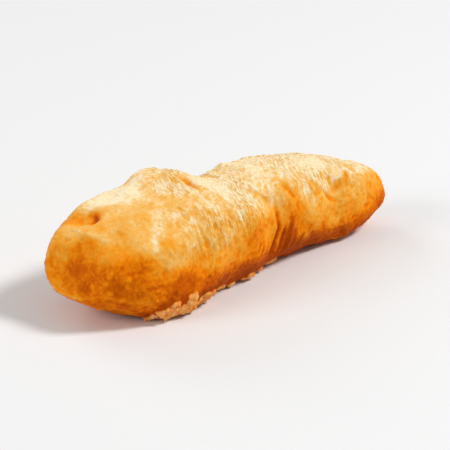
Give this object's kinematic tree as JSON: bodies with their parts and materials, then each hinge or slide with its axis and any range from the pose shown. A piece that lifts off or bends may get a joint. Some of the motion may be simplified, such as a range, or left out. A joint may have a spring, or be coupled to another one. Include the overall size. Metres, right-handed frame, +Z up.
{
  "type": "battered fried fish fillet",
  "caption": "Battered, deep-fried fish fillet with a blunt cut end, a fold around its waist and a slimmer tail end, lying on its flat underside.",
  "frame": {"origin": "on the ground, under the middle of the fillet's bounding box", "axes": "+X from the blunt cut end to the tail end, -Y is the front, +Z up"},
  "size_m": [0.1088, 0.0372, 0.0286],
  "materials": {
    "crust": "crisp golden fried batter, slightly oily"
  },
  "bodies": {
    "root": {"fillet": "crust"}
  },
  "joints": []
}
